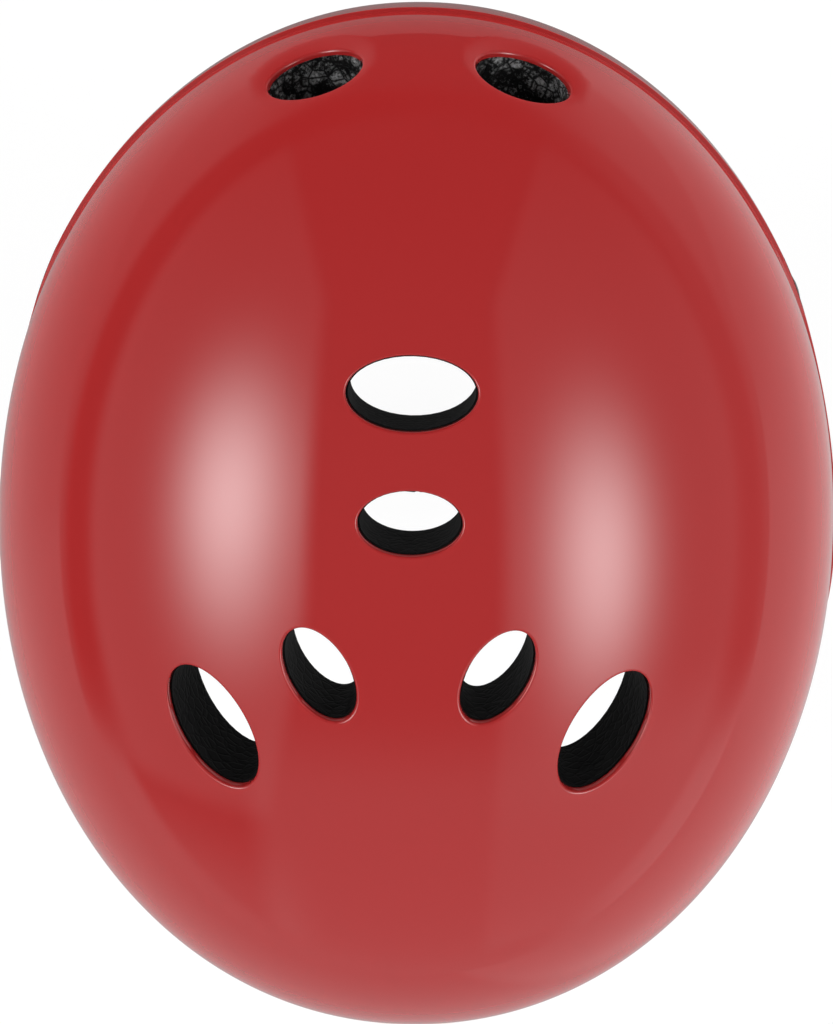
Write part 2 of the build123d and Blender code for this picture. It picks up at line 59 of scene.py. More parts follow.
# The camera hangs high above the helmet and a little towards its front, which is at the top
# of the picture. A long lens keeps the outline nearly parallel.
camera_place = Vector((-0.022, -0.2431, 1.4386))
camera_aim = Vector((-0.00054, -0.00755, 0.060))
camera_lens = 193.7
camera_roll = math.radians(-0.64)
camera_data = bpy.data.cameras.new("camera")
camera_data.lens = camera_lens
camera_data.clip_end = 20.0
camera = bpy.data.objects.new("camera", camera_data)
bpy.context.collection.objects.link(camera)
ahead = (camera_aim - camera_place).normalized()
right = ahead.cross(Vector((0, -1, 0))).normalized()
right = Matrix.Rotation(camera_roll, 3, ahead) @ right
axes = Matrix((right, right.cross(ahead), -ahead)).transposed()
camera.matrix_world = Matrix.Translation(camera_place) @ axes.to_4x4()
bpy.context.scene.camera = camera
bpy.context.scene.view_settings.view_transform = "Standard"

# The studio: a dark room with a large soft panel on each side, each with a bright core, and a
# paler wall behind the helmet. Directions are degrees from straight up: across goes to the
# wearer's left, along to the back.
world = bpy.data.worlds.new("studio")
bpy.context.scene.world = world
world.use_nodes = True
room_nodes = world.node_tree
room_nodes.nodes.clear()


def feed(node, inputs):
    """Sets a node's inputs to plain values, or links them to the sockets given."""
    for slot, value in inputs.items():
        if isinstance(value, bpy.types.NodeSocket):
            node.id_data.links.new(value, node.inputs[slot])
        else:
            node.inputs[slot].default_value = value
    return node


def add_node(tree, kind, inputs=None, **settings):
    """Adds a shader node with its settings and its inputs."""
    node = tree.nodes.new("ShaderNode" + kind)
    for name, value in settings.items():
        setattr(node, name, value)
    return feed(node, inputs or {})


def combine(operation, *values):
    """Output of a Math node; at least one of the values is a socket."""
    tree = next(value.id_data for value in values if isinstance(value, bpy.types.NodeSocket))
    return add_node(tree, "Math", dict(enumerate(values)), operation=operation).outputs[0]


def plus(first, *others):
    for value in others:
        first = combine("ADD", first, value)
    return first


def minus(first, second):
    return combine("SUBTRACT", first, second)


def times(first, *others):
    for value in others:
        first = combine("MULTIPLY", first, value)
    return first


def spread_to(value, low, high):
    """Stretches a value between 0 and 1 over another span."""
    span = {"Value": value, "To Min": low, "To Max": high}
    return add_node(value.id_data, "MapRange", span).outputs[0]


def ramp_between(value, low, high):
    """0 below low and 1 above high, with a soft step between them; low may be above high."""
    ends = {"From Min": min(low, high), "From Max": max(low, high)}
    ends["To Min"], ends["To Max"] = float(low > high), float(low < high)
    ramp = add_node(value.id_data, "MapRange", ends, interpolation_type="SMOOTHSTEP")
    return feed(ramp, {"Value": value}).outputs[0]


def glow(across, along, place, spread, strength):
    """A round bright patch that fades out from its place."""
    dx = combine("DIVIDE", minus(across, place[0]), spread[0])
    dy = combine("DIVIDE", minus(along, place[1]), spread[1])
    squares = plus(times(dx, dx), times(dy, dy))
    return times(combine("EXPONENT", times(squares, -0.5)), strength)


def mix_shaders(share, first, second):
    """Goes from the first shader to the second as share goes from 0 to 1."""
    parts = {0: share, 1: first.outputs[0], 2: second.outputs[0]}
    return add_node(share.id_data, "MixShader", parts)


room_tone, room_rear_tone = 0.08, 0.18
panel_tone, panel_rear_loss = 0.33, 0.18
fan_start, fan_slope = -38.0, 0.45
left_panel_slant = 12.0
right_core = ((-44.0, 7.0), (9.6, 13.8), 8.0)
left_core = ((43.5, -1.0), (10.3, 13.2), 8.8)
rear_wall_tone = 0.41
far_corner_tone = 0.30
low_tone, low_right_tone, low_left_tone, low_rear_tone = 0.07, 0.42, 0.30, 0.62
gap_depth, gap_left_depth = 0.38, 0.42
towards = add_node(room_nodes, "TexCoord").outputs["Generated"]
x, y, z = add_node(room_nodes, "SeparateXYZ", {0: towards}).outputs
flat = combine("SQRT", plus(times(x, x), times(y, y)))
lean = times(combine("ARCTAN2", flat, z), 180 / math.pi)
share = combine("DIVIDE", lean, plus(flat, 1e-5))
across, along = times(x, share), times(y, share)

room = plus(room_tone, times(ramp_between(along, -95.0, 5.0), room_rear_tone))
fan = times(combine("MAXIMUM", minus(fan_start, along), 0.0), fan_slope)
front_fade = ramp_between(along, -125.0, -10.0)
right_panel = times(ramp_between(plus(across, fan), -16.0, -22.0), front_fade)
right_tone = minus(panel_tone, times(ramp_between(along, 20.0, 70.0), panel_rear_loss))
right_light = times(right_panel, plus(right_tone, glow(across, along, *right_core)))
left_inner = minus(across, times(ramp_between(along, 10.0, 60.0), left_panel_slant))
left_panel = times(ramp_between(minus(left_inner, fan), 20.0, 26.0), front_fade)
left_panel = times(left_panel, ramp_between(along, 58.0, 50.0))
left_light = times(left_panel, plus(panel_tone, glow(across, along, *left_core)))
rear_wall = times(ramp_between(along, 26.0, 48.0), rear_wall_tone)
rear_wall = times(rear_wall, ramp_between(across, 44.0, 32.0))
far_corner = times(ramp_between(along, 55.0, 80.0), ramp_between(across, 20.0, 44.0))
upper = plus(plus(right_light, left_light), plus(room, rear_wall))
upper = plus(upper, times(far_corner, far_corner_tone))
low_right = times(ramp_between(across, -25.0, -75.0), low_right_tone)
low_left = times(ramp_between(across, 25.0, 75.0), low_left_tone)
low_rear = times(ramp_between(along, 30.0, 60.0), low_rear_tone)
lower = plus(low_tone, low_right, combine("MAXIMUM", low_left, low_rear))
above_horizon = ramp_between(lean, 98.0, 93.0)
lit = plus(times(upper, above_horizon), times(lower, minus(1.0, above_horizon)))
gap_ring = times(ramp_between(lean, 88.0, 95.0), ramp_between(lean, 107.0, 101.0))
gap = plus(gap_depth, times(ramp_between(across, -20.0, 30.0), gap_left_depth))
gap = times(gap, ramp_between(along, 60.0, 30.0))
lit = times(lit, minus(1.0, times(gap_ring, gap)))
ray = add_node(room_nodes, "LightPath").outputs
seen = combine("MAXIMUM", ray["Is Camera Ray"], ray["Is Transmission Ray"])
studio_light = add_node(room_nodes, "Background", {"Strength": lit})
white = add_node(room_nodes, "Background", {"Color": (1, 1, 1, 1)})
add_node(room_nodes, "OutputWorld", {0: mix_shaders(seen, studio_light, white).outputs[0]})

# Broad weak lamps: four stand level with the helmet and four shine up through the light table
# that it is shown on. They fill the shell's flanks evenly and don't show as reflections.
lamp_breadth = 50
for lamp_name, lamp_turn, lamp_tilt, lamp_power in (
    ("front_fill", 0, 88, 1.2),
    ("right_fill", -100, 88, 0.5),
    ("left_fill", 100, 88, 0.5),
    ("rear_fill", 180, 88, 0.4),
    ("front_table_lamp", 0, 130, 2.2),
    ("right_table_lamp", -100, 128, 2.2),
    ("left_table_lamp", 100, 128, 2.2),
    ("rear_table_lamp", 180, 128, 2.0),
):
    facing = (math.radians(lamp_tilt), 0, math.radians(lamp_turn))
    bpy.ops.object.light_add(type="SUN", rotation=facing)
    lamp = bpy.context.object
    lamp.name = lamp_name
    lamp.data.energy = lamp_power
    lamp.data.angle = math.radians(lamp_breadth)
    lamp.visible_glossy = False

# The floor is the light table's white sheet just under the hanging buckle. It is white to the
# camera and keeps a faint shadow of the helmet. Reflections see a painted glow on it instead, in
# soft grey tones that stand in for the light and shade on the sheet: paler towards its sides and
# rear, dimmer in front. It lets the lamps below it through, and from below it is clear, for a
# look at the inside.
floor_drop = 0.012
floor_radius = 0.9
floor_middle = 0.25
floor_front = -0.30
floor_shadow = 0.12
floor_white = 1.05
floor_grey, floor_left_grey, floor_right_grey, floor_rear_grey = 0.20, 0.22, 0.45, 0.30
floor_front_share = 0.6
floor_height = cad_box[0][2] - floor_drop
bpy.ops.object.select_all(action="DESELECT")
bpy.ops.mesh.primitive_circle_add(
    vertices=96, radius=floor_radius, fill_type="NGON", location=(0, floor_middle, floor_height)
)
floor = bpy.context.object
bpy.ops.object.transform_apply(location=True, rotation=False, scale=False)
floor.name = "floor"
bpy.ops.object.mode_set(mode="EDIT")
bpy.ops.mesh.select_all(action="SELECT")
front_end = (0, floor_front, floor_height)
bpy.ops.mesh.bisect(plane_co=front_end, plane_no=(0, 1, 0), clear_inner=True)
bpy.ops.object.mode_set(mode="OBJECT")
paper = bpy.data.materials.new("white_paper")
paper.use_nodes = True
sheet_nodes = paper.node_tree
sheet_nodes.nodes.clear()
ray = add_node(sheet_nodes, "LightPath").outputs
seen = combine("MAXIMUM", ray["Is Camera Ray"], ray["Is Transmission Ray"])
dull = add_node(sheet_nodes, "BsdfDiffuse", {"Color": (0.8, 0.8, 0.8, 1)})
white = add_node(sheet_nodes, "Emission", {"Strength": floor_white})
sheet = mix_shaders(times(seen, 1.0 - floor_shadow), dull, white)
on_sheet = add_node(sheet_nodes, "TexCoord").outputs["Object"]
across, along, _ = add_node(sheet_nodes, "SeparateXYZ", {0: on_sheet}).outputs
# Painted light and shade for reflections: the sheet's glow is paler towards its sides and rear,
# dimmer in front.
left_grey = times(ramp_between(across, 0.04, 0.17), floor_left_grey)
right_grey = times(ramp_between(across, -0.04, -0.17), floor_right_grey)
rear_grey = times(ramp_between(along, -0.15, 0.15), floor_rear_grey)
sides = combine("MAXIMUM", plus(left_grey, right_grey), rear_grey)
front_fade = times(ramp_between(along, -0.25, 0.05), 1.0 - floor_front_share)
grey = plus(floor_grey, times(sides, plus(floor_front_share, front_fade)))
mirrored = add_node(sheet_nodes, "Emission", {"Strength": grey})
sheet = mix_shaders(ray["Is Glossy Ray"], sheet, mirrored)
under_side = add_node(sheet_nodes, "NewGeometry").outputs["Backfacing"]
through = combine("MAXIMUM", under_side, ray["Is Shadow Ray"])
sheet = mix_shaders(through, sheet, add_node(sheet_nodes, "BsdfTransparent"))
add_node(sheet_nodes, "OutputMaterial", {0: sheet.outputs[0]})
floor.data.materials.append(paper)

# Outer shell: one injection-moulded cap of glossy red plastic, 2.5 mm thick, with a raised
# band along its lower edge and eleven oval vents. A grid is shaped to the mould's rounded form,
# thickened, and the vents are cut through it with softly rounded rims.
outer_width = 0.216
outer_length = 0.264
crown_height = 0.126
waist_height = 0.028
plan_fullness = 2.05
side_fullness = 2.1
front_tuck = 0.006
side_tuck = 0.006
rear_tuck = 0.012
nape_drop = 0.044
shell_wall = 0.0025
band_height = 0.030
band_proud = 0.0012
band_step = 0.0012
band_step_reach = 0.0008
edge_points = [(-0.080, 0.0), (-0.048, -0.018), (0.010, -0.006), (0.052, -0.034), (0.086, -0.044)]
edge_steps = 40
rise = crown_height - waist_height
shell_red = (0.368, 0.0185, 0.0185, 1)


def clamped_spline(points):
    """Smooth curve through points as cubic pieces, level at both ends, for the lower edge."""
    pts = np.array(points)
    span = np.hypot(*np.diff(pts, axis=0).T)
    count = len(pts)
    system = np.zeros((count, count))
    sides = np.zeros((count, 2))
    system[0, 0] = system[-1, -1] = 1
    sides[0] = sides[-1] = (1, 0)
    for k in range(1, count - 1):
        before, after = span[k - 1], span[k]
        system[k, k - 1 : k + 2] = after, 2 * (before + after), before
        into = after * (pts[k] - pts[k - 1]) / before
        sides[k] = 3 * (into + before * (pts[k + 1] - pts[k]) / after)
    slopes = np.linalg.solve(system, sides)
    curve = []
    for k in range(count - 1):
        for step in np.linspace(0, 1, edge_steps, endpoint=k == count - 2):
            start = (2 * step**3 - 3 * step**2 + 1) * pts[k]
            start = start + (step**3 - 2 * step**2 + step) * span[k] * slopes[k]
            end = (3 * step**2 - 2 * step**3) * pts[k + 1]
            curve.append(start + end + (step**3 - step**2) * span[k] * slopes[k + 1])
    return np.array(curve)


edge_curve = clamped_spline(edge_points)


def edge_height(y):
    """Height of the shell's lower edge at a place along the helmet."""
    return np.interp(y, edge_curve[:, 0], edge_curve[:, 1])


def form_ratio(p, inset=0.0):
    """Below 1 inside the rounded form and above 1 outside it; p is an array of points."""
    x, y, z = p[..., 0], p[..., 1], p[..., 2]
    up = np.clip((z - waist_height) / (rise - inset), 0, None)
    down = (np.clip(waist_height - z, 0, None) / (waist_height + nape_drop)) ** 2
    side = outer_width / 2 - inset - side_tuck * down
    end = outer_length / 2 - inset - np.where(y < 0, front_tuck, rear_tuck) * down
    plan = (np.abs(x) / side) ** plan_fullness + (np.abs(y) / end) ** plan_fullness
    plan = plan ** (1 / plan_fullness)
    dome = (plan**side_fullness + up**side_fullness) ** (1 / side_fullness)
    return np.where(z > waist_height, dome, plan)


def section_reach(z, y, inset=0.0):
    """Half width and half length of the form at a height, moved in by inset."""
    up = np.clip((z - waist_height) / (rise - inset), 0, None)
    fullness = (1 - up**side_fullness) ** (1 / side_fullness)
    down = (np.clip(waist_height - z, 0, None) / (waist_height + nape_drop)) ** 2
    side = (outer_width / 2 - inset) * fullness - side_tuck * down
    end = (outer_length / 2 - inset) * fullness - np.where(y < 0, front_tuck, rear_tuck) * down
    return side, end


def plan_reach(reach, share):
    """How far the form's oval section reaches at a share of its other half axis."""
    return reach * (1 - np.abs(share) ** plan_fullness) ** (1 / plan_fullness)


def top_height(x, y, inset=0.0):
    """Height of the form over a place on its plan, moved in by inset."""
    plan = form_ratio(np.stack([x, y, np.full(np.shape(x), waist_height)], -1), inset)
    return waist_height + (rise - inset) * (1 - plan**side_fullness) ** (1 / side_fullness)


def slope_of(field, p, step=5e-5):
    """Gradient of a field at an array of points."""
    parts = []
    for axis in np.eye(3) * step:
        parts.append((field(p + axis) - field(p - axis)) / (2 * step))
    return np.stack(parts, -1)


def soft_step(value):
    value = np.clip(value, 0, 1)
    return value * value * (3 - 2 * value)


def unit(v):
    return v / np.linalg.norm(v, axis=-1, keepdims=True)


def halve_to(holds, low, high, rounds):
    """Place between low and high up to which a test holds, found by halving the span."""
    for _ in range(rounds):
        middle = (low + high) / 2
        held = holds(middle)
        low, high = np.where(held, middle, low), np.where(held, high, middle)
    return (low + high) / 2


def vent_frame(centre, axis, along):
    """Centre, long direction, short direction and axis of a vent as arrays."""
    axis = unit(np.array(axis, float))
    along = np.array(along, float)
    along = unit(along - axis * along.dot(axis))
    return np.array(centre), along, np.cross(axis, along), axis


def top_vent(x, y, length, width, turn, lean_back, lean_side):
    """Vent over a place on the plan; its angles are in degrees."""
    turn, lean_back, lean_side = np.radians((turn, lean_back, lean_side))
    axis = (math.tan(lean_side), math.tan(lean_back), 1)
    along = (math.cos(turn), math.sin(turn), 0)
    return vent_frame((x, y, top_height(x, y)), axis, along), length / 2, width / 2


def section_ratio(p):
    """How far out a point lies in the form's section at its own height."""
    side, end = section_reach(p[2], p[1])
    return (abs(p[0]) / side) ** plan_fullness + (abs(p[1]) / end) ** plan_fullness


def end_vent(x, z, end, length, width):
    """Vent in the front wall (end -1) or the rear wall (end 1), square to the wall."""
    side, depth = section_reach(z, end)
    spot = np.array([x, end * plan_reach(depth, x / side), z])
    axis = slope_of(section_ratio if z >= waist_height else form_ratio, spot)
    return vent_frame(spot, axis, (-axis[1], axis[0], 0)), length / 2, width / 2


vents = [
    top_vent(0, -0.0467, 0.0322, 0.0182, 0, 0, 0),
    top_vent(0, -0.0156, 0.0256, 0.0158, 0, 4, 0),
    end_vent(0, 0.030, 1, 0.024, 0.013),
]
front_vents = []
for sign in (-1, 1):
    front_vents.append(end_vent(sign * 0.0266, 0.064, -1, 0.0247, 0.0224))
    vents.append(front_vents[-1])
    turn = 90 + sign * 30
    vents.append(top_vent(sign * 0.0218, 0.0225, 0.0255, 0.0153, turn, 9.6, sign * 2.8))
    vents.append(top_vent(sign * 0.0484, 0.0380, 0.0337, 0.0192, turn, 13.2, sign * 11.0))
    vents.append(end_vent(sign * 0.046, 0.026, 1, 0.024, 0.013))


dish_depth = 0.0009
dish_reach = 0.0048
dish_shift = 0.0024
dish_lean = 0.65
dish_curve = 1.35
dish_span = 0.03


def dish(p):
    """Soft hollow round each front vent, deeper and wider on its side near the band."""
    deep = np.zeros(p.shape[:-1])
    for (centre, along, aside, axis), half_long, half_short in front_vents:
        u = (p - centre) @ along
        v = (p - centre) @ aside
        ring = np.sqrt((u / half_long) ** 2 + (v / half_short) ** 2) + 1e-9
        beyond = (1 - 1 / ring) * np.hypot(u, v)
        lower = -np.sign(aside[2]) * v / (half_short * ring)
        near = np.abs((p - centre) @ axis) < dish_span
        hollow = dish_depth * (1 + dish_lean * lower)
        fade = np.clip(1 - beyond / (dish_reach + dish_shift * lower), 0, 1)
        deep = deep + near * hollow * fade**dish_curve
    return deep


def skin_offset(p):
    """How far the surface stands outside the plain form: the raised band, less the dishes."""
    below_band = edge_height(p[..., 1]) + band_height - p[..., 2]
    return band_proud * soft_step(below_band / band_step + 0.5) - dish(p)


def skin(p):
    """Signed distance outside the moulded surface."""
    ratio = form_ratio(p)
    slope = np.linalg.norm(slope_of(form_ratio, p), axis=-1)
    return (ratio - 1) / slope - skin_offset(p)


def form_place(around, depth):
    """Point of the form; depth runs from 0 at the crown to 1 at the waist, and on below."""
    cos, sin = np.cos(around), np.sin(around)
    size = np.abs(cos) ** plan_fullness + np.abs(sin) ** plan_fullness
    size = size ** (-1 / plan_fullness)
    arc = np.clip(depth, 0, 1) * math.pi / 2
    below = np.clip(depth - 1, 0, None) * rise * math.pi / 2
    fullness = np.sin(arc) ** (2 / side_fullness)
    z = waist_height + rise * np.cos(arc) ** (2 / side_fullness) - below
    side, end = section_reach(np.minimum(z, waist_height), sin)
    return np.stack([side * cos * size * fullness, end * sin * size * fullness, z], -1)


def depth_at_line(around, lift):
    """Depth at which a meridian meets the lower edge raised by lift."""
    def above_line(depth):
        p = form_place(around, depth)
        return p[:, 2] > edge_height(p[:, 1]) + lift

    return halve_to(above_line, np.full(around.shape, 0.3), np.full(around.shape, 1.8), 40)


def new_grid(name, columns, rows):
    """A flat grid; gives it, each vertex's share of the way across it, and its row."""
    bpy.ops.object.select_all(action="DESELECT")
    bpy.ops.mesh.primitive_grid_add(x_subdivisions=columns, y_subdivisions=rows, size=1)
    sheet = bpy.context.object
    sheet.name = name
    places = points_of(sheet) + 0.5
    return sheet, places[:, 0], np.rint(places[:, 1] * rows).astype(int)


def points_of(obj):
    return np.array([v.co[:] for v in obj.data.vertices])


def move_points(obj, places):
    obj.data.vertices.foreach_set("co", places.astype(np.float32).ravel())


def close_up(merge=0.0, fill=False):
    """Joins the active piece's meeting points, fills its open ends, turns its faces outward."""
    bpy.ops.object.mode_set(mode="EDIT")
    bpy.ops.mesh.select_all(action="SELECT")
    if merge:
        bpy.ops.mesh.remove_doubles(threshold=merge)
    if fill:
        bpy.ops.mesh.fill_holes(sides=0)
    bpy.ops.mesh.normals_make_consistent(inside=False)
    bpy.ops.object.mode_set(mode="OBJECT")


def pick(obj):
    """Makes a piece the active one and the only one selected."""
    bpy.ops.object.select_all(action="DESELECT")
    bpy.context.view_layer.objects.active = obj
    obj.select_set(True)


def apply_modifier(obj, kind, **values):
    """Adds a modifier to the piece and applies it."""
    pick(obj)
    modifier = obj.modifiers.new(kind.lower(), kind)
    for name, value in values.items():
        setattr(modifier, name, value)
    bpy.ops.object.modifier_apply(modifier=modifier.name)


around_count = 336
crown_rows = 96
step_rows = 5
band_rows = 16
row_count = crown_rows + step_rows + band_rows
shell, turn_share, row = new_grid("moulded_shell", around_count, row_count)
around = turn_share * 2 * math.pi
band_line = depth_at_line(around, band_height)
edge_line = depth_at_line(around, 0.0)
step_half = band_step_reach / (rise * math.pi / 2)
crown_share = np.clip(row / crown_rows, 0, 1)
step_share = np.clip((row - crown_rows) / step_rows, 0, 1)
band_share = np.clip((row - crown_rows - step_rows) / band_rows, 0, 1)
depth = crown_share * (band_line - step_half) + step_share * 2 * step_half
depth = depth + band_share * (edge_line - band_line - step_half)
place = form_place(around, depth)
for _ in range(4):
    place = place - unit(slope_of(form_ratio, place)) * skin(place)[:, None]
place[:, 2] = np.where(row == row_count, edge_height(place[:, 1]), place[:, 2])
place[row == 0] = (0, 0, crown_height)
move_points(shell, place)
close_up(merge=2e-5)
apply_modifier(
    shell, "SOLIDIFY", thickness=shell_wall, offset=-1, use_even_offset=True, use_rim=True
)
lower_round = 0.0007
lower_sharp = 50
bpy.ops.object.mode_set(mode="EDIT")
bpy.ops.mesh.select_mode(type="EDGE")
bpy.ops.mesh.select_all(action="DESELECT")
bpy.ops.mesh.edges_select_sharp(sharpness=math.radians(lower_sharp))
bpy.ops.mesh.bevel(offset=lower_round, segments=3, affect="EDGES")
bpy.ops.mesh.select_mode(type="VERT")
bpy.ops.object.mode_set(mode="OBJECT")
rim_round = 0.0007
rim_steps = 4
cutter_steps = 96
cutter_top = 0.003
cutter_depth = 0.012
cutter_ends = (0.004, -0.018)


def skin_along(frame_of_vent, u, v):
    """How far along a vent's axis the skin lies, for offsets u and v across it."""
    centre, along, aside, axis = frame_of_vent
    base = centre + u[:, None] * along + v[:, None] * aside

    def inside(level):
        return skin(base + level[:, None] * axis) < 0

    return halve_to(inside, np.full(u.shape, -0.03), np.full(u.shape, 0.02), 36)


def vent_cutter(vent, name):
    """Oval plug whose flank flares at the surface, so that the cut leaves a rounded rim."""
    frame_of_vent, half_long, half_short = vent
    centre, along, aside, axis = frame_of_vent
    rings = rim_steps + 4
    plug, turn_share, ring = new_grid(name, cutter_steps, rings)
    angle = turn_share * 2 * math.pi
    bend = np.clip((ring - 2) / rim_steps, 0, 1) * math.pi / 2
    grow = rim_round * (1 - np.sin(bend))
    drop = rim_round * (1 - np.cos(bend))
    wide = np.stack([half_long * np.cos(angle), half_short * np.sin(angle)], -1)
    out = unit(np.stack([np.cos(angle) / half_long, np.sin(angle) / half_short], -1))
    spot = wide + out * grow[:, None]
    level = skin_along(frame_of_vent, spot[:, 0], spot[:, 1]) - drop
    level = np.where(ring == 1, level + cutter_top, level)
    level = np.where(ring >= rim_steps + 3, level - cutter_depth, level)
    for end_ring, end_level in zip((0, rings), cutter_ends):
        spot = np.where((ring == end_ring)[:, None], 0, spot)
        level = np.where(ring == end_ring, end_level, level)
    move_points(plug, centre + spot[:, :1] * along + spot[:, 1:] * aside + level[:, None] * axis)
    close_up(merge=1e-5)
    return plug


for index, vent in enumerate(vents):
    plug = vent_cutter(vent, "vent_cutter_%d" % index)
    apply_modifier(shell, "BOOLEAN", operation="DIFFERENCE", object=plug, solver="EXACT")
    bpy.data.objects.remove(plug, do_unlink=True)

# On the moulded surface the shell's corners take its exact direction, for smooth reflections.
skin_tolerance = 4e-5
pick(shell)
bpy.ops.object.shade_smooth_by_angle(angle=math.radians(35))
mesh = shell.data
corner_normals = np.zeros((len(mesh.loops), 3), np.float32)
mesh.corner_normals.foreach_get("vector", corner_normals.ravel())
loop_vertex = np.zeros(len(mesh.loops), np.int32)
mesh.loops.foreach_get("vertex_index", loop_vertex)
spots = points_of(shell)
on_skin = np.abs(skin(spots)) < skin_tolerance
exact = unit(slope_of(skin, spots, 1e-4))
for face in mesh.polygons:
    if all(on_skin[v] for v in face.vertices):
        if Vector(exact[face.vertices[0]]).dot(face.normal) > 0.7:
            for loop in face.loop_indices:
                corner_normals[loop] = exact[loop_vertex[loop]]
mesh.normals_split_custom_set(corner_normals.tolist())


def start_material(name, place="Object"):
    """A new material; gives it, its surface node, and the place on the piece as a socket."""
    material = bpy.data.materials.new(name)
    material.use_nodes = True
    tree = material.node_tree
    return material, tree.nodes["Principled BSDF"], add_node(tree, "TexCoord").outputs[place]


def noise(place, scale, detail=2.0, roughness=0.5):
    """Cloudy noise between 0 and 1."""
    inputs = {"Vector": place, "Scale": scale, "Detail": detail, "Roughness": roughness}
    return add_node(place.id_data, "TexNoise", inputs).outputs["Fac"]


def relief(height, strength, distance):
    """Normal of a surface with a shallow relief."""
    inputs = {"Height": height, "Strength": strength, "Distance": distance}
    return add_node(height.id_data, "Bump", inputs).outputs[0]


def two_tones(value, dark, pale, low=0.0, high=1.0):
    """Colour that goes from dark at low to pale at high."""
    ramp = add_node(value.id_data, "ValToRGB", {0: value})
    for stop, position, colour in zip(ramp.color_ramp.elements, (low, high), (dark, pale)):
        stop.position, stop.color = position, (*colour, 1)
    return ramp.outputs[0]


red, plastic, on_shell = start_material("glossy_red_shell")
polish = spread_to(noise(on_shell, 60.0, 4.0), 0.03, 0.06)
feed(plastic, {"Base Color": shell_red, "IOR": 1.6, "Roughness": polish})
mesh.materials.clear()
mesh.materials.append(red)
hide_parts("outer_shell")
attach(shell, "helmet")

# Foam liner: black expanded bead foam, moulded to the shell, with the same vents. Its skin is
# dull and shows the pressed beads; behind the two front vents pale flecks are a painted glint.
bead_scale = 340.0
bead_waver, bead_waver_scale = 0.0012, 300.0
bead_black, bead_grey = (0.0015, 0.0015, 0.0017), (0.0055, 0.0055, 0.0058)
glint_grey = (0.42, 0.43, 0.43, 1)
foam, bead, on_foam = start_material("black_bead_foam")
foam_nodes = foam.node_tree
waver = add_node(foam_nodes, "TexNoise", {"Vector": on_foam, "Scale": bead_waver_scale})
shifted = {"Factor": bead_waver, 4: on_foam, 5: waver.outputs["Color"]}
on_beads = add_node(foam_nodes, "Mix", shifted, data_type="VECTOR").outputs[1]
cells = {"Vector": on_beads, "Scale": bead_scale}
seams = add_node(foam_nodes, "TexVoronoi", cells, feature="DISTANCE_TO_EDGE")
bead_edge = ramp_between(seams.outputs["Distance"], 0.0, 0.16)
bead_tone = add_node(foam_nodes, "TexVoronoi", cells).outputs["Color"]
# Painted glint: behind the two front vents, pale grey flecks on the beads stand in for light
# catching them.
(vent_centre, vent_along, vent_aside, _), vent_long, vent_short = front_vents[1]
x, y, z = add_node(foam_nodes, "SeparateXYZ", {0: on_foam}).outputs
one_side = add_node(foam_nodes, "CombineXYZ", {0: combine("ABSOLUTE", x), 1: y, 2: z})
from_vent = {0: one_side.outputs[0], 1: tuple(vent_centre)}
from_vent = add_node(foam_nodes, "VectorMath", from_vent, operation="SUBTRACT").outputs[0]
vent_ring = 0.0
for way, half in ((vent_along, vent_long), (vent_aside, vent_short)):
    parts = {0: from_vent, 1: tuple(way / half)}
    part = add_node(foam_nodes, "VectorMath", parts, operation="DOT_PRODUCT").outputs["Value"]
    vent_ring = plus(vent_ring, times(part, part))
in_front_vents = times(ramp_between(vent_ring, 1.45, 1.25), ramp_between(y, -0.06, -0.08))
glint_flecks = times(noise(on_beads, 1300.0, 6.0, 0.7), 0.55)
glint_flecks = plus(glint_flecks, times(noise(on_beads, 170.0), 0.45))
painted_glint = times(ramp_between(glint_flecks, 0.45, 0.68), bead_edge, in_front_vents)
tones = {"Factor": painted_glint, 6: two_tones(bead_tone, bead_black, bead_grey), 7: glint_grey}
feed(bead, {
    "Base Color": add_node(foam_nodes, "Mix", tones, data_type="RGBA").outputs[2],
    "Normal": relief(bead_edge, 0.3, 0.0004),
    "Roughness": 0.62,
    "Specular IOR Level": 0.10,
})
nodes["foam_liner"].data.materials.clear()
nodes["foam_liner"].data.materials.append(foam)

# Rivets: four steel rivets with low black-lacquered heads on the band, closed over washers,
# lacquered too, inside the liner's strap pockets.
lacquer, coat, on_rivet = start_material("black_rivet_lacquer")
rivet_rough = spread_to(noise(on_rivet, 900.0), 0.22, 0.42)
feed(coat, {"Base Color": (0.012, 0.012, 0.013, 1), "Metallic": 0.4, "Roughness": rivet_rough})


def finish_moulded(node, material, round_off):
    """Gives a carried-over piece its finish and a small round on its hard edges."""
    piece = nodes[node]
    piece.data.materials.clear()
    piece.data.materials.append(material)
    weld = piece.modifiers.new("merge", "WELD")
    weld.merge_threshold = 1e-6
    soft = piece.modifiers.new("edge_round", "BEVEL")
    soft.width = round_off
    soft.segments = 2
    soft.limit_method = "ANGLE"
    soft.angle_limit = math.radians(40)
    soft.harden_normals = True


finish_moulded("strap_rivets", lacquer, 0.0002)
finish_moulded("rivet_washers", lacquer, 0.00015)

# Side straps: 15 mm black nylon webbing, a front and a rear one on each side. Each is riveted
# inside the shell, comes out under its edge and is folded round its divider's bar and sewn.
strap_width = 0.015
strap_thickness = 0.0015
strap_half = strap_thickness / 2
strap_selvedge = 0.0009
strap_inset = 0.0041
strap_wall_run = 0.024
strap_end_margin = 0.010
front_anchor = (-0.058, -0.003)
rear_anchor = (0.068, -0.021)
divider_place = 0.0104
divider_height = -0.082
divider_reach = 0.076
divider_side = 0.013
divider_bar = 0.004
divider_bar_rise = divider_side - divider_bar / 2
divider_sheet = 0.0035
divider_slot_shift = 0.0085
eye_gap = 0.0003
sewn_length = 0.009
strap_bow = 0.0022


def cut_corners(values, rounds=3):
    """Each round trims the corners of a route, which turns them into soft bends."""
    for _ in range(rounds):
        near = 0.75 * values[:-1] + 0.25 * values[1:]
        away = 0.25 * values[:-1] + 0.75 * values[1:]
        inner = np.stack([near, away], 1).reshape(-1, values.shape[1])
        values = np.concatenate([values[:1], inner, values[-1:]])
    return values


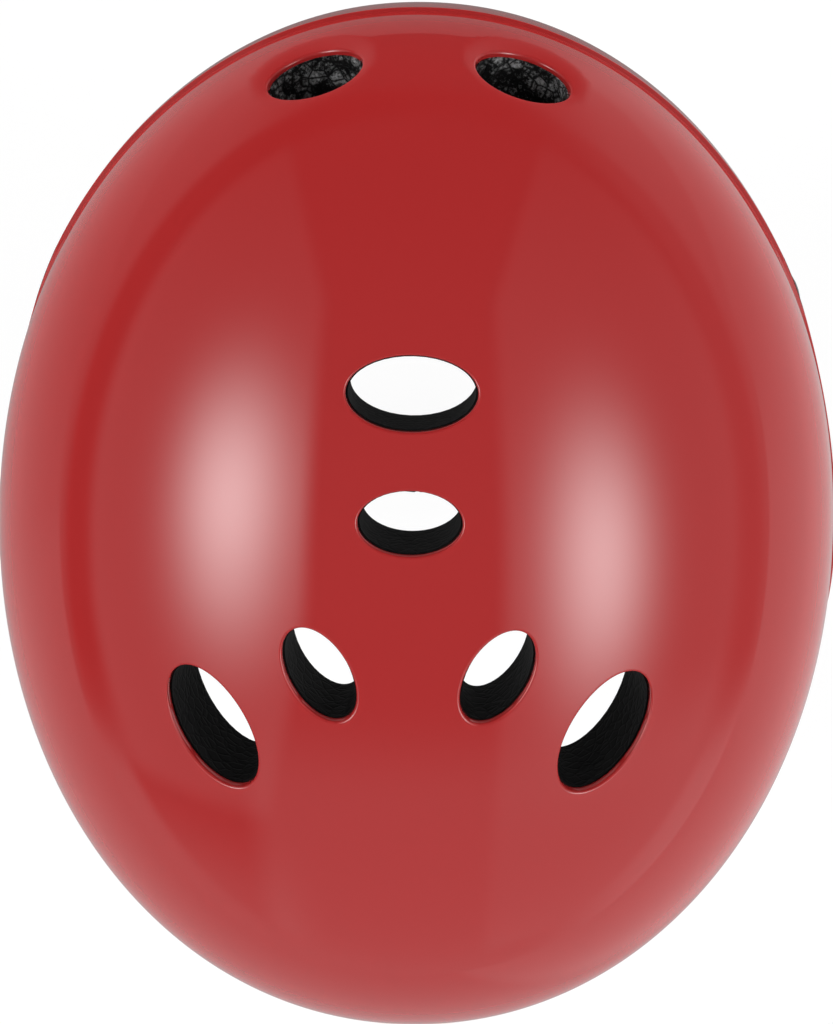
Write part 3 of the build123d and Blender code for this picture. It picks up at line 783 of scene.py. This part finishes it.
def webbing(name, route, across):
    """Flat woven strap along a route, closed all round, its length and width as UV in metres."""
    across = np.broadcast_to(np.array(across, float), (len(route), 3))
    both = cut_corners(np.concatenate([np.array(route, float), across], 1))
    centre, side = both[:, :3], both[:, 3:]
    steps = np.linalg.norm(np.diff(centre, axis=0), axis=1)
    travel = np.concatenate([[0], np.cumsum(steps)])
    ahead = unit(np.gradient(centre, axis=0))
    side = unit(side - ahead * np.sum(side * ahead, axis=1, keepdims=True))
    face = np.cross(ahead, side)
    flat_half = strap_width / 2 - strap_selvedge
    wide = np.linspace(-flat_half, flat_half, 6)
    section = []
    for way in (1, -1):
        section += [(way * w, way * strap_half) for w in wide]
        for turn in (0.7, 1.57, 2.44):
            edge = flat_half + strap_selvedge * math.sin(turn)
            section.append((way * edge, way * strap_half * math.cos(turn)))
    section = np.array(section + section[:1])
    columns, rows = len(section) - 1, len(centre) - 1
    strap, column_share, row = new_grid(name, columns, rows)
    column = np.rint(column_share * columns).astype(int)
    spot = centre[row] + side[row] * section[column, :1] + face[row] * section[column, 1:]
    move_points(strap, spot)
    vertex = np.zeros(len(strap.data.loops), np.int32)
    strap.data.loops.foreach_get("vertex_index", vertex)
    spread = np.stack([section[column[vertex], 0], travel[row[vertex]]], -1)
    strap.data.uv_layers.active.data.foreach_set("uv", spread.astype(np.float32).ravel())
    close_up(merge=1e-6, fill=True)
    bpy.ops.object.shade_smooth_by_angle(angle=math.radians(50))
    strap.data.materials.append(nylon)
    return strap


def folded_eye(centre, away, normal, bar_long, bar_thick):
    """Points of the webbing that comes along -away, rounds a bar and lies back on itself."""
    long = bar_long / 2 + eye_gap + strap_half
    thick = bar_thick / 2 + eye_gap + strap_half
    layer = strap_half * 1.04
    reach = long + strap_half + sewn_length
    half_turn = [
        (reach + 0.003, layer * 0.5),
        (reach + 0.0005, layer),
        (long + 0.0030, layer),
        (long + 0.0012, layer * 1.2),
        (long - 0.0002, thick * 0.85),
        (long - 0.0014, thick),
        (-long + 0.0012, thick),
        (-long, thick - 0.0010),
    ]
    back = [(s, -n) for s, n in half_turn[1:]][::-1]
    centre, away, normal = np.array(centre), np.array(away), np.array(normal)
    return [centre + away * s + normal * n for s, n in half_turn + back]


rib_width = 0.00125
pick_length = 0.00115
nylon, weave, on_strap = start_material("woven_nylon_webbing", "UV")
width_place, length_place, _ = add_node(nylon.node_tree, "SeparateXYZ", {0: on_strap}).outputs
column_turn = combine("FRACT", combine("DIVIDE", width_place, rib_width))
column_part = combine("ABSOLUTE", minus(column_turn, 0.5))
pick_turn = plus(combine("DIVIDE", length_place, pick_length), column_part)
pick_wave = combine("SINE", times(pick_turn, 2 * math.pi))
pick_height = plus(0.5, times(pick_wave, 0.5))
strand_height = times(pick_height, ramp_between(column_part, 0.5, 0.36))
# Painted shade and light: the strands' colour is darker where the weave dips and paler on their
# tops.
feed(weave, {
    "Base Color": two_tones(strand_height, (0.005, 0.005, 0.006), (0.026, 0.026, 0.028)),
    "Normal": relief(strand_height, 0.8, 0.00022),
    "Roughness": 0.58,
    "Sheen Weight": 0.15,
})


def strap_wall_point(y, z, sign):
    """Point inside the shell's side wall where the middle of the webbing lies."""
    side, end = section_reach(z, y, strap_inset)
    return np.array([sign * plan_reach(side, y / end), y, z])


def in_loop(x, z):
    """Point in the plane in which the chin loop hangs."""
    return np.array([x, divider_place, z])


eye_places = []
for side_name, sign in (("left", 1), ("right", -1)):
    for end_name, anchor, shift_way in (("front", front_anchor, 1), ("rear", rear_anchor, -1)):
        lift = unit(np.array([0, anchor[0] - divider_place, anchor[1] - divider_height]))
        tangent = np.array([0, -lift[2], lift[1]])
        bar = in_loop(sign * divider_reach, divider_height)
        bar = bar + lift * divider_bar_rise + tangent * divider_slot_shift * shift_way
        run = unit(np.array([0, bar[1] - anchor[0], bar[2] - anchor[1]]))
        route, across = [], []
        for distance in (-strap_end_margin, 0, 0.008, 0.016, strap_wall_run):
            spot = np.array([0, anchor[0], anchor[1]]) + run * distance
            point = strap_wall_point(spot[1], spot[2], sign)
            wall = unit(slope_of(form_ratio, point))
            route.append(point)
            across.append(np.cross(run, wall))
        eye = folded_eye(bar, lift, (sign, 0, 0), divider_bar, divider_sheet)
        sideways = np.cross(run, (sign, 0, 0))
        leave = route[-1]
        for share in (0.25, 0.5, 0.75):
            bow = strap_bow * 4 * share * (1 - share)
            route.append(leave + (eye[0] - leave) * share + np.array([sign * bow, 0, 0]))
            across.append(unit(across[4] * (1 - share) + sideways * share))
        route += eye
        across += [sideways] * len(eye)
        strap = webbing("%s_strap_%s_webbing" % (end_name, side_name), route, across)
        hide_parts("%s_strap_%s" % (end_name, side_name))
        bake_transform(strap)
        eye_places.append((bar, lift, (sign, 0, 0)))

# Strap dividers: two flat three-slot plates of fine-grained black plastic that join the front,
# rear and chin straps below the ears. The buckle's parts are moulded of the same plastic.
grained, grain, on_plate = start_material("grained_black_plastic")
feed(grain, {
    "Base Color": (0.011, 0.011, 0.012, 1),
    "Normal": relief(noise(on_plate, 2600.0), 0.35, 0.00006),
    "Roughness": spread_to(noise(on_plate, 120.0), 0.36, 0.52),
})
for side_name in ("left", "right"):
    finish_moulded("strap_divider_" + side_name, grained, 0.0004)

# Left chin strap: webbing sewn round the left divider's lower bar and round the bar of the
# buckle's socket.
loop_height = -0.145
shoulder_height = -0.118
shoulder_bend = 0.011
corner_bend = 0.007
corner_reach = 0.038
buckle_half = 0.019
buckle_bar = 0.0036
divider_low_bar = divider_height - divider_bar_rise
chin_across = (0, 1, 0)


def soft_corner(before, corner, after, reach):
    """Four points that lead a route round a corner."""
    into, onward = unit(np.array(before) - corner), unit(np.array(after) - corner)
    turn_in, turn_out = corner + into * reach * 0.35, corner + onward * reach * 0.35
    return [corner + into * reach, turn_in, turn_out, corner + onward * reach]


low_bar = in_loop(divider_reach, divider_low_bar)
shoulder = in_loop(divider_reach, shoulder_height)
corner = in_loop(corner_reach, loop_height)
socket_bar = in_loop(buckle_half - buckle_bar / 2, loop_height)
top_eye = folded_eye(low_bar, (0, 0, -1), (1, 0, 0), divider_bar, divider_sheet)
socket_eye = folded_eye(socket_bar, (1, 0, 0), (0, 0, -1), buckle_bar, buckle_bar)
chin_route = top_eye[::-1] + soft_corner(top_eye[0], shoulder, corner, shoulder_bend)
chin_route += soft_corner(shoulder, corner, socket_eye[0], corner_bend) + socket_eye
strap = webbing("chin_strap_left_webbing", chin_route, chin_across)
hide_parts("chin_strap_left")
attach(strap, "chin_loop")
eye_places.append((low_bar, (0, 0, -1), (1, 0, 0)))
eye_places.append((socket_bar, (1, 0, 0), (0, 0, 1)))

# Right chin strap: sewn round the right divider, then through the buckle's insert and back as
# a free tail that lies under the strap, so that its length can be set.
tail_layer = 0.0010
tail_length = 0.028
bar_lead = 0.0015
lock_bend = 0.006
climb = buckle_bar / 2 + eye_gap + strap_half
low_bar = in_loop(-divider_reach, divider_low_bar)
shoulder = in_loop(-divider_reach, shoulder_height)
corner = in_loop(-corner_reach, loop_height + tail_layer)
slant = unit(shoulder - corner)
under = np.array([slant[2], 0, -slant[0]])
under = under if under[2] < 0 else -under
bend = in_loop(-buckle_half - bar_lead - lock_bend, loop_height)
lead = in_loop(-buckle_half - bar_lead, loop_height)
pin = in_loop(-buckle_half + buckle_bar / 2, loop_height)
up = np.array([0, 0, 1])
past_lead = np.array([0.002, 0, 0])
top_eye = folded_eye(low_bar, (0, 0, -1), (-1, 0, 0), divider_bar, divider_sheet)
chin_route = top_eye[::-1] + soft_corner(top_eye[0], shoulder, corner, shoulder_bend)
chin_route += soft_corner(shoulder, corner, bend + up * tail_layer, corner_bend)
chin_route += [bend + up * tail_layer, lead + up * climb * 0.85, lead + up * climb + past_lead]
for turn in (60, 30, 0, -30, -60):
    angle = math.radians(turn)
    chin_route.append(pin + climb * 1.06 * np.array([math.cos(angle), 0, math.sin(angle)]))
chin_route += [lead - up * climb + past_lead, lead - up * climb * 0.85, bend - up * tail_layer]
tail_corner = corner + 2 * tail_layer * under
tail_corner = tail_corner + slant * ((loop_height - tail_layer - tail_corner[2]) / slant[2])
tail_end = tail_corner + slant * tail_length
chin_route += soft_corner(bend - up * tail_layer, tail_corner, tail_end, corner_bend)
strap = webbing("chin_strap_right_webbing", chin_route + [tail_end], chin_across)
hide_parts("chin_strap_right")
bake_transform(strap)
eye_places.append((low_bar, (0, 0, -1), (-1, 0, 0)))

# Stitching: black bonded thread, a sewn box with a cross on both faces of every folded eye.
# Each stitch is a small oval laid on the webbing.
stitch_pitch = 0.0021
stitch_half = (0.00092, 0.00024, 0.00020)
stitch_height = strap_thickness + strap_half * 0.08
box_start = 0.0050
box_end = 0.0118
box_half = 0.0052
thread, twist, on_thread = start_material("bonded_black_thread")
plies = {"Vector": on_thread, "Scale": 900.0}
plies = add_node(thread.node_tree, "TexWave", plies, bands_direction="DIAGONAL").outputs["Fac"]
thread_normal = relief(plies, 0.5, 0.00008)
feed(twist, {"Base Color": (0.035, 0.035, 0.037, 1), "Roughness": 0.42, "Normal": thread_normal})
box_corners = np.array(
    [(box_start, -box_half), (box_end, -box_half), (box_end, box_half), (box_start, box_half)]
)
box_lines = ((0, 1), (1, 2), (2, 3), (3, 0), (0, 2), (3, 1))
bpy.ops.object.select_all(action="DESELECT")
bpy.ops.mesh.primitive_uv_sphere_add(segments=8, ring_count=4, radius=1)
one_stitch = bpy.context.object
stitch_shape = points_of(one_stitch)[:, [2, 0, 1]] * stitch_half
stitch_faces = [tuple(face.vertices) for face in one_stitch.data.polygons]
stitch_points, stitch_polygons = [], []
for bar, away, normal in eye_places:
    away, normal = np.array(away), np.array(normal)
    aside = np.cross(normal, away)
    for facing in (1, -1):
        for start, end in box_lines:
            start, end = box_corners[start], box_corners[end]
            span = np.linalg.norm(end - start)
            count = max(2, round(span / stitch_pitch))
            way = (end - start) / span
            forward = away * way[0] + aside * way[1]
            cross = np.cross(normal * facing, forward)
            body = stitch_shape @ np.stack([forward, cross, normal * facing])
            for k in range(count):
                at = start + (end - start) * (k + 0.5) / count
                middle = bar + away * at[0] + aside * at[1] + normal * facing * stitch_height
                base = len(stitch_points) * len(stitch_shape)
                stitch_points.append(middle + body)
                stitch_polygons += [tuple(base + v for v in face) for face in stitch_faces]
bpy.data.objects.remove(one_stitch, do_unlink=True)
stitch_mesh = bpy.data.meshes.new("eye_stitching")
stitch_mesh.from_pydata(np.concatenate(stitch_points).tolist(), [], stitch_polygons)
stitching = bpy.data.objects.new("eye_stitching", stitch_mesh)
bpy.context.collection.objects.link(stitching)
pick(stitching)
close_up()
bpy.ops.object.shade_smooth()
stitch_mesh.materials.append(thread)
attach(stitching, "chin_loop")

# Strap keeper: a black rubber loop with a dull, faintly dusty skin. It holds the free tail
# against the right chin strap.
rubber, loop_skin, on_loop = start_material("black_keeper_rubber")
feed(loop_skin, {
    "Base Color": (0.013, 0.013, 0.013, 1),
    "Normal": relief(noise(on_loop, 1200.0), 0.3, 0.00008),
    "Roughness": 0.66,
})
finish_moulded("strap_keeper", rubber, 0.0003)

# Buckle: a side-release buckle in three kinds of moulding, the socket, the insert that carries
# the adjustable strap, and its two springy arms with finger pads.
for node in ("buckle_socket", "buckle_insert", "release_arm_front", "release_arm_rear"):
    finish_moulded(node, grained, 0.00025)

# Comfort pads: six foam pads in brushed black cloth, bound round their edges. Their covers are
# swelled as cloth, then pressed channels and the bound edge are laid in.
cavity_inset = 0.0245
pad_gap = 0.0014
pad_thickness = 0.008
pad_corner = 0.008
pad_voxel = 0.0018
pad_shrink = 0.0009
pad_frames = 20
pad_cap = 0.0020
channel_depth = 0.0026
channel_half = 0.0021
binding_inset = 0.0006
pads = {
    "brow_pad": ("front", (0.0, 0.017), 0.096, 0.026, (-0.018, 0.018)),
    "nape_pad": ("back", (0.0, -0.017), 0.068, 0.030, (0.0,)),
    "side_pad_left": ("left", (0.0, 0.030), 0.060, 0.032, (0.0,)),
    "side_pad_right": ("right", (0.0, 0.030), 0.060, 0.032, (0.0,)),
    "crown_pad_left": ("top", (0.038, -0.020), 0.050, 0.026, ()),
    "crown_pad_right": ("top", (-0.038, -0.020), 0.050, 0.026, ()),
}
brushed, cloth, on_cloth = start_material("brushed_black_cloth")
nap = noise(on_cloth, 1500.0, 3.0)
tone = times(plus(nap, noise(on_cloth, 90.0, 3.0)), 0.5)
feed(cloth, {
    "Base Color": two_tones(tone, (0.008, 0.008, 0.009), (0.034, 0.034, 0.037), 0.35, 0.65),
    "Normal": relief(nap, 0.7, 0.0002),
    "Roughness": 0.85,
    "Sheen Weight": 0.35,
    "Sheen Roughness": 0.5,
})


def inner_wall(view, u, v, inset):
    """Points of the form moved in by inset, seen flat from one side: u along, v across."""
    if view == "top":
        return np.stack([u, v, top_height(u, v, inset)], -1)
    way = -1 if view in ("front", "right") else 1
    if view in ("front", "back"):
        side, end = section_reach(v, way, inset)
        return np.stack([u, way * plan_reach(end, u / side), v], -1)
    side, end = section_reach(v, u, inset)
    return np.stack([way * plan_reach(side, u / end), u, v], -1)


def inset_of(p):
    """How far a point lies inside the form, as the inset of the form that meets it."""
    def inside(inset):
        return form_ratio(p, inset) < 1

    return halve_to(inside, np.full(len(p), 0.0), np.full(len(p), 0.06), 30)


def swell_cover(pad):
    """Blows a pad's cover up as cloth, by no more than the cap, and keeps the result."""
    before = points_of(pad)
    swell = pad.modifiers.new("swell", "CLOTH")
    fabric = swell.settings
    fabric.use_pressure = True
    fabric.uniform_pressure_force = 9.0
    fabric.effector_weights.gravity = 0.0
    fabric.quality = 6
    fabric.tension_stiffness = 8.0
    fabric.compression_stiffness = 8.0
    fabric.shear_stiffness = 4.0
    fabric.bending_stiffness = 0.2
    fabric.mass = 0.2
    swell.point_cache.frame_end = pad_frames
    for moment in range(1, pad_frames + 1):
        bpy.context.scene.frame_set(moment)
    swelled = pad.evaluated_get(bpy.context.evaluated_depsgraph_get())
    move = points_of(swelled) - before
    pad.modifiers.remove(swell)
    bpy.context.scene.frame_set(1)
    reach = np.linalg.norm(move, axis=1, keepdims=True)
    move_points(pad, before + move * np.minimum(1, pad_cap / np.maximum(reach, 1e-9)))


def bound_edge(view, middle, length, width):
    """Even points round a pad's edge, where its binding lies."""
    half_long, half_wide = length / 2 - binding_inset, width / 2 - binding_inset
    loop = []
    for quarter, (cu, cv) in enumerate(((1, 1), (-1, 1), (-1, -1), (1, -1))):
        for step in range(9):
            angle = (quarter + step / 8) * math.pi / 2
            u = cu * (half_long - pad_corner) + pad_corner * math.cos(angle)
            v = cv * (half_wide - pad_corner) + pad_corner * math.sin(angle)
            loop.append((u, v))
    loop = np.array(loop + loop[:1])
    laps = np.concatenate([[0], np.cumsum(np.linalg.norm(np.diff(loop, axis=0), axis=1))])
    even = np.linspace(0, laps[-1], 160, endpoint=False)
    u, v = np.interp(even, laps, loop[:, 0]), np.interp(even, laps, loop[:, 1])
    if view == "top":
        u, v = v, u
    inset = np.full(u.shape, cavity_inset + pad_gap + pad_thickness * 0.5)
    return inner_wall(view, u + middle[0], v + middle[1], inset)


binding_points = []
for node, (view, middle, length, width, channels) in pads.items():
    pad = nodes[node].copy()
    pad.data = nodes[node].data.copy()
    pad.name = node + "_cover"
    bpy.context.collection.objects.link(pad)
    pick(pad)
    bpy.ops.object.mode_set(mode="EDIT")
    bpy.ops.mesh.select_all(action="SELECT")
    bpy.ops.mesh.remove_doubles(threshold=1e-5)
    bpy.ops.transform.shrink_fatten(value=-pad_shrink)
    bpy.ops.object.mode_set(mode="OBJECT")
    pad.data.remesh_voxel_size = pad_voxel
    bpy.ops.object.voxel_remesh()
    swell_cover(pad)
    apply_modifier(pad, "SUBSURF", levels=1, render_levels=1)
    spots = points_of(pad)
    deep = inset_of(spots)
    outward = unit(slope_of(form_ratio, spots))
    spots = spots - outward * np.clip(cavity_inset + pad_gap - deep, 0, None)[:, None]
    along_pad = spots[:, 1] if view in ("left", "right") else spots[:, 0]
    past_middle = deep - cavity_inset - pad_gap - 0.35 * pad_thickness
    facing_head = soft_step(past_middle / (0.5 * pad_thickness))
    for channel in channels:
        press = channel_depth * np.exp(-(((along_pad - channel) / channel_half) ** 2))
        spots = spots + outward * (press * facing_head)[:, None]
    move_points(pad, spots)
    pad.data.materials.clear()
    pad.data.materials.append(brushed)
    bpy.ops.object.shade_smooth()
    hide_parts(node)
    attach(pad, "helmet")
    binding_points.append(bound_edge(view, middle, length, width))

# Pad binding: a narrow folded tape of the same cloth, sewn round the edge of each pad's cover.
# Its stitches draw it in a little, in even ripples.
binding_half = (0.0011, 0.0008)
binding_sides = 10
binding_ripples = 40
ripple_share = 0.05
for node, edge_line in zip(pads, binding_points):
    count = len(edge_line)
    tape, turn_share, row = new_grid(node + "_binding", binding_sides, count)
    angle = turn_share * 2 * math.pi
    row = row % count
    ahead = unit(np.roll(edge_line, -1, axis=0) - np.roll(edge_line, 1, axis=0))
    outward = unit(slope_of(form_ratio, edge_line))
    outward = unit(outward - ahead * np.sum(outward * ahead, axis=1, keepdims=True))
    beside = np.cross(ahead, outward)
    ripple = 1 + ripple_share * np.sin(row * 2 * math.pi * binding_ripples / count)
    body = edge_line[row] + outward[row] * (binding_half[0] * np.cos(angle) * ripple)[:, None]
    move_points(tape, body + beside[row] * (binding_half[1] * np.sin(angle) * ripple)[:, None])
    close_up(merge=1e-6)
    bpy.ops.object.shade_smooth()
    tape.data.materials.append(brushed)
    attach(tape, "helmet")

# Hook-and-loop patches: small squares of hook tape glued to the foam, one behind each pad.
# Their face is a dense field of tiny nylon hooks.
hook_tape, hook_body, on_tape = start_material("nylon_hook_tape")
hooks = {"Vector": on_tape, "Scale": 800.0}
hooks = add_node(hook_tape.node_tree, "TexVoronoi", hooks).outputs["Distance"]
hook_normal = relief(hooks, 0.8, 0.0003)
feed(hook_body, {"Base Color": (0.014, 0.014, 0.015, 1), "Roughness": 0.6, "Normal": hook_normal})
nodes["hook_patches"].data.materials.clear()
nodes["hook_patches"].data.materials.append(hook_tape)
